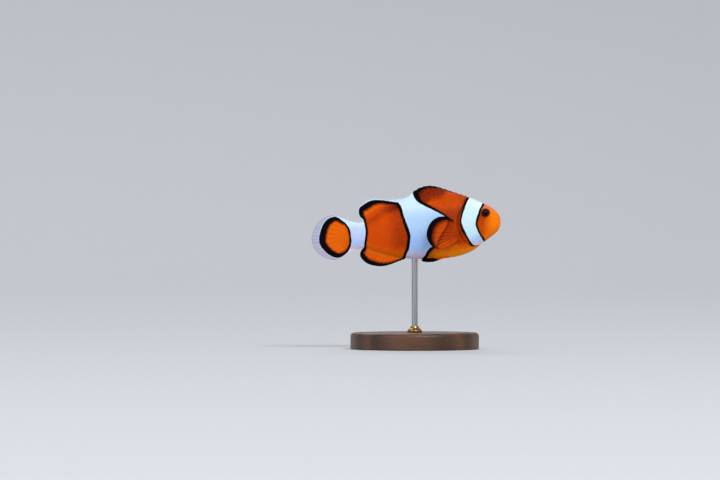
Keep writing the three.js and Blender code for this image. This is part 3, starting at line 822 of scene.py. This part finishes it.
def shades(lay):
    """For each place: its orange's yellower, rust-red, pinkish and gold tones, which carry painted light,
    painted shade and painted highlights, and its height on the fish.
    """
    s, z = lay[..., 0], lay[..., 2]
    back, belly = along_body(BACK, s), along_body(BELLY, s)
    over, under, height = z - back, belly - z, (z - belly) / (back - belly)
    past_first, past_middle, on_tail = (soft(s, *band) for band in BANDS)
    on_face, on_front, on_rear = 1 - past_first, past_first * (1 - past_middle), past_middle * (1 - on_tail)
    # Painted light on the body under the side fin's lower edge, where the fin's shadow falls.
    light_under_fin = on_front * spot(s, z, (22, -8.2), 3.2, 1.1)
    by_tip = on_front * soft(s, 27.5, 31.5) * soft(-z, 7, 8.5)
    # How far the orange turns yellower: on the face, the belly, the tail and the soft dorsal fin's lobe;
    # along the lower edge of the front and rear fields this is also painted light that lifts their shade,
    # and under the side fin it is painted light alone.
    yellow_and_underlight = (
        on_face * (1 - 0.9 * soft(s, 2.6, 8.6) * (1 - soft(-z, 3, 7)))
        + on_front * (0.1 * soft(z, 5, 9) * (1 - soft(over, -1.5, 0.5)) + 0.95 * soft(-z, 7.4, 11.2))
        + on_rear * (0.3 * soft(over, 0.8, 2.5) * soft(s, 46, 52) + 0.22 * soft(under, -0.5, 1.5))
        + on_rear * 0.2 * bell(under, -2, 1.6)
        + 0.4 * on_tail + 0.25 * light_under_fin
    )
    dark_from = np.interp(s, [20, 22.7, 25.2, 28.2, 31], [1.2, 0.35, -0.4, -0.4, -2.3])
    dark_top = soft(over - dark_from, -1.2, 1.2)
    spiny = dark_top * (0.16 + 0.52 * soft(s, 17.5, 24.5) + 0.08 * soft(s, 27, 31))
    spiny = spiny + (1 - dark_top) * (0.37 - 0.22 * soft(s, 14.5, 18.5)) * soft(z, 5, 9.5)
    # Painted shade round the eye, heaviest below and behind it.
    shade_round_eye = 0.4 * spot(s, z, (6.7, 3.3), 1.6, 1.6) + 0.26 * spot(s, z, (7.4, 1.8), 2.6, 2.2)
    # How far the orange darkens towards rust-red: the spiny dorsal fin's own dark tone, darker over the
    # middle of the front field and at the front of the rear field, more by the side fin's tip, and painted
    # shade round the eye, along the gill edge and under the soft dorsal fin's root; painted light under the
    # side fin takes some away.
    rust_and_shade = (
        on_face * (0.25 * soft(s, 6, 9) + shade_round_eye)
        + on_front * (0.48 * (1 - soft(z, 5, 9.5)) * (1 - soft(-z, 6.4, 8.8)) + 0.09 + spiny)
        # Painted shade along the gill cover's free edge, fading out low down.
        + on_front * (0.3 - 0.4 * soft(-z, 3, 7)) * bell(nearest_on(GILL_EDGE, s, z)[0], 0, 0.5)
        + on_rear * 0.5 * (1 - soft(s, 42, 50)) * (1 - 0.8 * soft(-z, 5.5, 9))
        # Painted shade on the rear field just under the soft dorsal fin's root.
        + on_rear * 0.52 * bell(over, -0.8, 2) * (1 - soft(s, 47, 52))
        + on_rear * 0.38 * bell(over, -1.6, 2) * soft(s, 48, 52) + 0.4 * by_tip - 0.25 * light_under_fin
    )
    # Painted highlights, pinkish: along the snout's upper rim, as a spot above the eye, along the snout's
    # front edge, on the dorsal fin's root behind the nape, and as a thin pale line just inside the spiny
    # dorsal fin's top edge.
    pink_highlight = on_face * 0.7 * soft(over, -2.2, -0.1) * soft(z, 1.5, 4.5) * (1 - soft(s, 6.5, 7.6))
    pink_highlight += on_face * 0.7 * spot(s, z, (7.1, 6.9), 1, 1)
    pink_highlight += on_face * 0.4 * (1 - soft(s, 0.1, 1.3)) * (1 - soft(z, 1.5, 4.5))
    pink_highlight += on_front * 0.2 * soft(over, 0, 1.2) * soft(s, 15, 19) * (1 - soft(s, 20, 23))
    highlight_edge = bell(over - 0.445 * (s - 18.1), 0.7, 0.28) * soft(s, 18, 20) * (1 - soft(s, 24.5, 26.5))
    pink_highlight += on_front * 0.6 * highlight_edge
    # Gold along the lowest part of the front and rear fields: partly the belly's own colour and partly
    # painted light that lifts the underside's shade; less by the side fin's tip.
    gold_and_underlight = (on_front - 0.6 * by_tip + 0.25 * on_rear) * (1 - soft(height, -0.02, 0.13))
    # Painted light: the head band turns whiter from a tenth to a third of the way up.
    head_band_light = (1 - soft(s, 17, 21)) * soft(height, 0.1, 0.34)
    lilac = soft(s, 46, 58)
    return {
        "yellow_and_underlight": yellow_and_underlight, "rust_and_shade": rust_and_shade, "pink_highlight": pink_highlight, "gold_and_underlight": gold_and_underlight, "height": height,
        "head_band_light": head_band_light, "lilac": lilac,
    }


def store(mesh, **fields):
    """Keeps a number, or for lay a place, for each of a mesh's points."""
    for name, values in fields.items():
        kind, slot = ("FLOAT_VECTOR", "vector") if name == "lay" else ("FLOAT", "value")
        mesh.attributes.new(name, kind, "POINT").data.foreach_set(slot, np.ravel(values))


skin_shades = shades(lay)
skin_shades["yellow_and_underlight"] = skin_shades["yellow_and_underlight"] * (1 - 0.5 * is_belly * on_fin)
store(
    fused, lay=lay, inlay=inlay, border=border, blade=on_fin, rib=field["rib"], run=field["run"],
    clear=clear, side_fin=is_side * soft(field["run"], FIN_ROOT, FIN_ROOT + 0.8),
    behind_fold=behind_fold, **skin_shades,
)
fused.materials.clear()
skin = bpy.data.objects.new("fish_skin", fused)
bpy.context.scene.collection.objects.link(skin)
for shape in loose:
    bpy.data.objects.remove(shape)

# Paint colours. The rust-red is both the fish's own tone and painted shade; the pinkish colour paints
# highlights; the gold is partly the belly's own and partly painted light; the pearl's top and low colours
# are painted light and painted shade on the white; the head band's face colour and the nape's white are
# painted light and a painted highlight.
INK = colour(4, 1, 3)
ORANGE, YELLOW, RUST_AND_SHADE = colour(216, 74, 3), colour(254, 128, 5), colour(104, 26, 2)
PINK_HIGHLIGHT, BURNT, GOLD_AND_UNDERLIGHT = colour(224, 132, 106), colour(64, 12, 3), colour(255, 166, 22)
PEARL_LIT_TOP, PEARL = colour(210, 236, 252), colour(182, 216, 255)
PEARL_SHADED_LOW, PEARL_UNDER = colour(166, 201, 255), colour(222, 204, 228)
PEARL_FACE_LIGHT, PEARL_TAIL = colour(214, 246, 248), colour(208, 212, 254)
NAPE_HIGHLIGHT, PEARL_SHADE, GLASSY = colour(238, 244, 238), colour(150, 178, 226), colour(176, 170, 194)


def read(name, output="Fac"):
    """What store() kept for each point of a mesh, or 0 on a mesh that has none."""
    return Tone.node("Attribute", {"attribute_name": name}, {}, output)


def layered(paint, *coats):
    """A colour with coats of others over it, each with the share that covers what is under it."""
    for coat, share in coats:
        paint = blend(paint, coat, share)
    return paint


def fish_finish(name, gloss=0.42):
    """The fish's painted finish, for the skin and for the scales over it."""
    material = new_finish(name)
    place = read("lay", "Vector")
    on_blade, rib, run, side, own, border, height, head_band_light, lilac, clear = map(
        read,
        ("blade", "rib", "run", "side_fin", "own_tone", "border", "height", "head_band_light", "lilac", "clear"),
    )
    mottle, grain = noise(place, 0.35, 3), noise(place, 3.2, 3)
    rows = noise(place, 1.1, 2, (0.12, 0.5, 1))
    depth = read("inlay") + noise(place, 0.7, 2) * 0.4 + noise(place, 4, 2) * 0.18
    toothed = on_blade * between(border, 0.3, 1) * (1 - 0.6 * lilac)
    border = border + toothed * ((rib - 0.35) * 0.25 + mottle * 0.5)

    # The side fin: smooth behind its fold, rayed in front of it, and golden along its foot.
    folded = read("behind_fold") + rib * 0.25
    strip = between(folded, -0.1, 0.5)
    low = between(height, 0.35, 0.15) * (1 - strip) * side
    by_fold = between(folded, -3.4, -0.4) * (1 - low)
    rays = 0.48 - 0.3 * low + (0.28 + 0.55 * by_fold) * between(rib + grain * 0.5, 0.2, 0.9)
    rays = rays * (1 - strip) + between(abs(folded + 0.5), 0.8, 0.1) * 0.3 + strip * 0.24

    yellow_and_underlight = read("yellow_and_underlight") * (1 - side) + side * strip * 0.08 + low * 0.3 + rows * 0.25
    rust_and_shade = read("rust_and_shade") * (1 - side) + side * rays + rows * 0.35 + mottle * 0.25 - own * 0.07
    streaks = on_blade * (1 - side) * between(rib + grain, 0.3, 1.2) * 0.28
    broad = side * between(border, 0.4, 2) * 1.9
    broad = broad + on_blade * (1 - side) * (1 - lilac) * between(border, 1.3, 2.3) * 1.5
    burnt = between(depth - border, 0.7 + on_blade * 0.4 + broad, -0.1)
    burnt = burnt * (0.5 + on_blade * 0.35 + side * 0.1) * between(border, 0, 0.5)
    orange = layered(
        ORANGE, (YELLOW, yellow_and_underlight), (RUST_AND_SHADE, rust_and_shade + streaks), (PINK_HIGHLIGHT, read("pink_highlight")),
        (GOLD_AND_UNDERLIGHT, read("gold_and_underlight") * (1 - on_blade) * 0.85), (BURNT, burnt),
    )

    # The white is painted lighter towards the top and darker and bluer low down, as painted light and
    # painted shade; it turns pinker at the very bottom.
    up = height + mottle * 0.1
    lilac = lilac * between(up, 0.1, 0.4) * (1 - between(up, 0.65, 0.95) * 0.8)
    pearl = layered(
        PEARL_SHADED_LOW, (PEARL, between(up, 0.3, 0.6)), (PEARL_LIT_TOP, between(up, 0.68, 0.95)),
        (PEARL_UNDER, between(up, 0.22, 0.02)), (PEARL_FACE_LIGHT, head_band_light * 0.8),
        # A painted highlight along the top of the head band, at the nape, over that painted light.
        (NAPE_HIGHLIGHT, head_band_light * between(up, 0.78, 1) * 0.7), (PEARL_TAIL, lilac * 0.6),
        (PEARL_SHADE, between(grain + mottle - own * 0.1, 0.1, 0.6) * 0.3), (GLASSY, clear * 0.8),
    )
    painted = layered(
        pearl, (INK, between(depth, -0.07, 0.07)), (orange, between(depth - border, -0.12, 0.12))
    )
    segments = (run * 13 + rib * 2).maths("SINE") * rib * on_blade
    grained = segments * 0.25 + noise(place, 9, 2) * 0.5 + grain * 0.35
    roughness = gloss + grain * 0.12 + on_blade * 0.05
    alpha = 1 - clear * (0.55 - rib * 0.2)
    surface(painted, roughness, grained, 0.03 * MM, Alpha=alpha, **{"Specular IOR Level": 0.05})
    return material


skin.data.materials.append(fish_finish("painted_fish"))
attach(skin, "root")
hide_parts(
    "head", "lower_jaw", "gill_cover_right", "gill_cover_left", "trunk", "tail_stalk",
    "dorsal_fin_spiny", "dorsal_fin_soft", "anal_fin", "caudal_fin", "pectoral_fin_right",
    "pectoral_fin_left", "pelvic_fin_right", "pelvic_fin_left",
)

# ----------------------------------------------------------
# The scales: thin rounded plates of lacquered foil, laid in overlapping rows from the tail
# forwards. Each is rooted at its front and lifts a little at its free rear edge.

SCALE_ROWS = 50  # rows right round the body
FIRST_SCALE, LAST_SCALE = 6.0, 66.6
PLATE_POINTS = 12  # round each ring of a plate
PLATE_RINGS = (0.5, 0), (0.82, 0), (1, 0), (0.97, -0.05)  # radius and drop; the last is underneath
PLATE_LONG, PLATE_WIDE = 0.82, 0.64  # half a plate's length and width, as shares of the rows' pitch


def arc_turns(s, shares):
    """Turns at shares of the way round the section at s, from the belly's middle line."""
    turn = np.linspace(-math.pi / 2, 1.5 * math.pi, 721)
    round_it = form(np.full(turn.shape, s), turn)
    length = np.append(0, np.cumsum(np.linalg.norm(np.diff(round_it, axis=0), axis=1)))
    return np.interp(np.asarray(shares) * length[-1], length, turn), length[-1]


def bare(s, y, z):
    """Whether the skin shows bare at a place, so that no scale is laid there."""
    near_back = z > (along_body(BACK, s) + along_body(BELLY, s)) / 2
    gap = np.abs(y) < 0.75
    belly_hinge = (np.abs(np.abs(y) - 1.8) < 0.9) & (np.abs(s - 23.0) < 1.6)
    return (
        (s < 7.0 - 0.12 * np.abs(z))
        | (np.hypot(s - EYE_S, z - EYE_Z) < 3.3)
        | (nearest_on(MOUTH, s, z)[0] < 1.6)
        | (nearest_on(GILL_EDGE, s, z)[0] < 0.72)
        | (np.hypot((s - FIN_LOBE[0]) / 1.5, (z - FIN_LOBE[1]) / 3.5) < 1)
        | (gap & near_back & (s > 12.8) & (s < 57.6))
        | (gap & ~near_back & (s > 40.8) & (s < 59.2))
        | (~near_back & (belly_hinge | (np.hypot(s - ROD_PLACE, y) < 1.9)))
    )


rng = np.random.default_rng(7)
roots = []
s_now, column = FIRST_SCALE, 0
while s_now < LAST_SCALE:
    shares = (np.arange(SCALE_ROWS) + 0.5 * (column % 2) + 0.25) / SCALE_ROWS
    turns, round_length = arc_turns(s_now, shares)
    pitch = round_length / SCALE_ROWS
    roots += [(s_now, turn, share, pitch, row) for row, (turn, share) in enumerate(zip(turns, shares))]
    s_now += 0.8 * pitch * (0.78 + 0.22 * soft(s_now, 14, 19))
    column += 1
roots = np.array(roots)
roots = roots[~bare(*form(roots[:, 0], roots[:, 1]).T)]
root_s, root_turn, root_share, pitch, root_row = roots.T[..., None]
each = pitch.shape
root_s = root_s + rng.normal(0, 0.025, each) * pitch

spokes = round_angles(PLATE_POINTS)
plate_a = np.append(0, [radius * np.cos(spokes) for radius, _ in PLATE_RINGS])
plate_b = np.append(0, [radius * np.sin(spokes) for radius, _ in PLATE_RINGS])
drop = np.append(0, np.repeat([drop for _, drop in PLATE_RINGS], PLATE_POINTS))
rounder = np.where(plate_a < 0, 0.85, 1.0)
plate_faces = fan(0, 1, PLATE_POINTS) + walls(len(PLATE_RINGS), PLATE_POINTS, 1)
plate_faces.append(range(len(drop) - PLATE_POINTS, len(drop)))

size = pitch * rng.normal(1, 0.03, each)
plate_s = root_s + PLATE_LONG * size * plate_a
turn_step = 0.01
near = form(root_s, root_turn + turn_step) - form(root_s, root_turn - turn_step)
per_turn = np.linalg.norm(near, axis=-1) / (2 * turn_step)
plate_turn = root_turn + PLATE_WIDE * size * rounder * plate_b / np.maximum(per_turn, 1.2)
lift = 0.075 * soft(plate_a, -1, 0.95) - 0.055 + 0.016 * (1 - plate_b**2) + drop
lift = lift * np.clip(pitch, 0.6, 1.2) + rng.normal(0, 0.006, each)
lateral = np.isin(root_row, (SCALE_ROWS // 2 - 5, SCALE_ROWS // 2 + 4)) & (root_s > 17.5) & (root_s < 50)
lift = lift + lateral * 0.05 * bell(plate_b, 0, 0.25) * soft(plate_a, -0.5, 0.2)
plate_lay = skin_at(plate_s, plate_turn, lift)
scale_inlay, scale_border = markings(plate_lay)
plates = {
    "lay": plate_lay, "inlay": scale_inlay, "border": scale_border, **shades(plate_lay),
    "own_tone": rng.normal(0, 0.55, each) + 0 * plate_a,
}
PATCH = 0.0015  # half a plate's patch on the flat unwrap of the body

scale_finish = fish_finish("lacquered_scale", 0.38)
for name, hand in SIDES:
    chosen = np.flatnonzero(hand * form(root_s, root_turn)[..., 1] > 0)
    points = to_world(plate_lay[chosen].reshape(-1, 3))
    faces = [tuple(n * len(plate_a) + np.array(face)) for n in range(len(chosen)) for face in plate_faces]
    coat = piece(f"scales_{name}", points, facing_out(points, faces))
    store(coat.data, **{field: values[chosen] for field, values in plates.items()})
    unwrap = coat.data.uv_layers.new(name="OFBake")
    corner = numbers(coat.data.loops, "vertex_index", 1, int)[:, 0]
    u = 0.02 + 0.96 * root_s[chosen] / BODY_END + PATCH * plate_a
    v = 0.02 + 0.96 * root_share[chosen] + PATCH * plate_b
    unwrap.data.foreach_set("uv", np.stack([u.ravel(), v.ravel()], -1)[corner].ravel())
    coat.data.materials.append(scale_finish)
    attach(coat, "root")

# ----------------------------------------------------------
# The eyes: glass balls with a flat black pupil and a thin rusty iris behind a clear front, set in
# their sockets from outside.

CORNEA = 0.07  # how far the clear front stands out, as a share of the ball's depth
LOOK_UP = 0.1


def glass_eye(name, hand, rings=47, segments=96):
    """One eye, turned about the line it looks along, with its points' distances from that line."""
    gaze = np.array([0.0, hand, LOOK_UP])
    gaze /= np.linalg.norm(gaze)
    up = np.array([0.0, 0.0, 1.0]) - gaze * gaze[2]
    up /= np.linalg.norm(up)
    around = round_angles(segments)[:, None]
    spokes = up * np.cos(around) + np.cross(gaze, up) * np.sin(around)
    polar = np.linspace(0, math.pi, rings + 2)[1:-1]
    off, ahead = EYE_RADIUS * np.sin(polar), EYE_DEPTH * np.cos(polar) * (1 + CORNEA * bell(polar, 0, 0.6))
    centre = np.array([EYE_S, hand * (flank_at(EYE_S, EYE_Z) + EYE_OUT - EYE_DEPTH), EYE_Z])
    ball = centre + gaze * ahead[:, None, None] + spokes * off[:, None, None]
    front, back = centre + gaze * EYE_DEPTH * (1 + CORNEA), centre - gaze * EYE_DEPTH
    points = np.concatenate([ball.reshape(-1, 3), [front, back]])
    from_axis = np.repeat(np.where(ahead > 0, off, 2 * EYE_RADIUS - off), segments)
    placed = to_world(points)
    eye = piece(name, placed, facing_out(placed, closed_form(rings, segments)))
    store(eye.data, from_axis=np.append(from_axis, [0, 2 * EYE_RADIUS]), lay=points)
    return eye


eye_finish = new_finish("glass_eye")
from_axis = read("from_axis")
fibres = noise(read("lay", "Vector"), 6, 3)
iris = blend(colour(48, 12, 5), colour(86, 27, 8), between(from_axis + fibres * 0.4, 1.15, 1.55))
iris = blend(iris, colour(20, 6, 4), between(from_axis + fibres * 0.2, 1.7, 1.95))
eye_colour = blend(colour(10, 1, 1), iris, between(from_axis, 1.02, 1.14))
surface(eye_colour, 0.07 + fibres * 0.03, IOR=1.3, **{"Specular IOR Level": 0.2})
for name, hand in SIDES:
    eye = glass_eye(f"glass_eye_{name}", hand)
    eye.data.materials.append(eye_finish)
    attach(eye, "root")
    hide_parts(f"eye_{name}")

# ----------------------------------------------------------
# The studio: a pale floor that sweeps up into a round backdrop, soft lights, and the camera, which
# looks square at the right flank.

FLOOR_RADIUS, SWEEP, WALL_TOP = 1.9, 2.6, 4.5
AROUND = 96
sweep = [(FLOOR_RADIUS, 0)]
for a in np.radians(np.linspace(3, 90, 30)):
    sweep.append((FLOOR_RADIUS + SWEEP * math.sin(a), SWEEP - SWEEP * math.cos(a)))
sweep.append((FLOOR_RADIUS + SWEEP, WALL_TOP))
stage_points = [(r * math.cos(a), r * math.sin(a), h) for r, h in sweep for a in round_angles(AROUND)]
stage_faces = walls(len(sweep), AROUND) + fan(len(stage_points), 0, AROUND)
stage = piece("studio_floor", [*stage_points, (0, 0, 0)], [face[::-1] for face in stage_faces])
new_finish("pale_paper", stage)
fibre = noise(own_place(), 700, 3)
paper_colour = blend(colour(208, 211, 215), colour(200, 203, 208), fibre + 0.5)
surface(paper_colour, 0.8 + fibre * 0.1, fibre, 0.03 * MM)


FISH_MIDDLE = Vector((0.0, 0.0, MIDLINE_HEIGHT * MM))


def softbox(name, place, size, power):
    """A round soft light of some metres and watts, aimed at the fish."""
    light = bpy.data.lights.new(name, "AREA")
    light.shape, light.size, light.energy = "DISK", size, power
    lamp = bpy.data.objects.new(name, light)
    lamp.location = place
    lamp.rotation_euler = (FISH_MIDDLE - Vector(place)).to_track_quat("-Z", "Y").to_euler()
    bpy.context.scene.collection.objects.link(lamp)


softbox("key_light", (1.0, -2.3, 2.3), 1.5, 70.0)
softbox("fill_light", (-2.1, -2.1, 1.2), 2.0, 20.0)
softbox("back_light", (-0.4, 2.4, 2.4), 1.8, 30.0)

world = bpy.data.worlds.new("studio_air")
world.use_nodes = True
air = world.node_tree.nodes["Background"].inputs
air["Color"].default_value = (0.97, 0.98, 1.0, 1.0)
air["Strength"].default_value = 0.42
bpy.context.scene.world = world
bpy.context.scene.view_settings.view_transform = "Standard"

FRAME_WIDE, FRAME_HIGH = 720, 480
PIXEL = 0.42 * MM  # what one pixel of the frame spans at the fish
SNOUT_PIXEL = (501.0, 221.5)
snout = to_world([0, 0, 0])
lens = bpy.data.cameras.new("studio_camera")
lens.lens, lens.sensor_width = 210.0, 36.0
camera = bpy.data.objects.new("studio_camera", lens)
camera.location = (
    snout[0] + (FRAME_WIDE / 2 - SNOUT_PIXEL[0]) * PIXEL,
    -FRAME_WIDE * PIXEL * lens.lens / lens.sensor_width,
    snout[2] + (SNOUT_PIXEL[1] - FRAME_HIGH / 2) * PIXEL,
)
camera.rotation_euler = (math.pi / 2, 0, 0)
bpy.context.scene.collection.objects.link(camera)
bpy.context.scene.camera = camera
